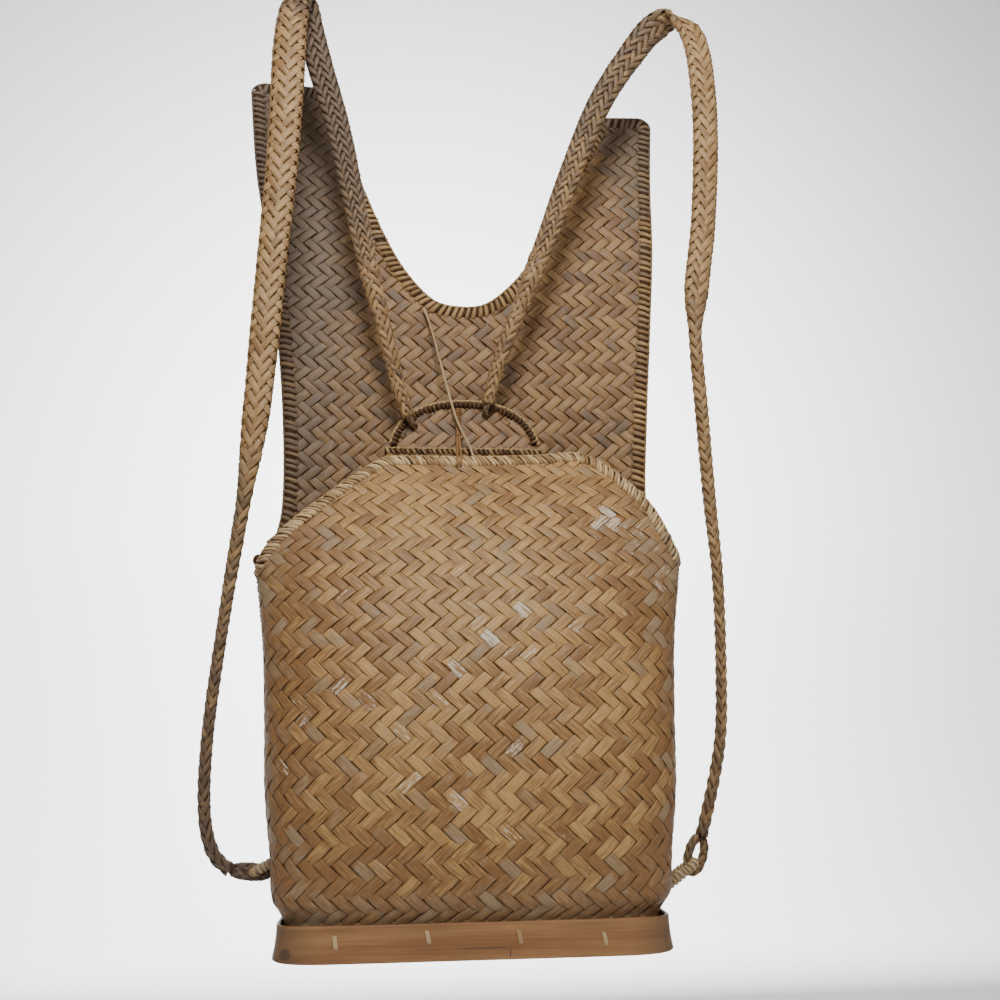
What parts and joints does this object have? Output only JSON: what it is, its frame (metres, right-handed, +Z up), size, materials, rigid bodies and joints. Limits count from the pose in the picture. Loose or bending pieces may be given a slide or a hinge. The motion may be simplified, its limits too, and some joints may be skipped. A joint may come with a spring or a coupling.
{
  "type": "woven straw backpack",
  "caption": "Flat woven straw backpack with a bent wood foot, a bulging pouch, a tall eared rear flap and braided shoulder straps.",
  "frame": {"origin": "on the hang line under both strap crowns, half way across the foot of the bag", "axes": "+Z up, +X to the viewer's right, -Y towards a viewer who faces the straps"},
  "size_m": [0.3883, 0.1217, 0.7325],
  "materials": {
    "wood": "satin oiled strip wood",
    "straw": "woven palm strips, warm tan, satin",
    "flap_straw": "woven palm strips, browner, satin",
    "cane": "split cane whipping, satin",
    "binding": "laced edge roll, aged, matt",
    "braid": "braided straw strands, satin",
    "eyelet_cane": "pale wrapped cane, satin"
  },
  "bodies": {
    "root": {"base_band": "wood", "floor_mat": "straw", "front_shell": "straw", "back_panel": "flap_straw", "front_rim": "cane", "panel_binding": "binding", "inner_facing": "straw", "facing_binding": "cane", "yoke_tab": "flap_straw", "yoke_binding": "binding", "yoke_tie": "binding", "strap_left": "braid", "strap_right": "braid", "eyelet_left": "eyelet_cane", "eyelet_right": "eyelet_cane"}
  },
  "joints": []
}
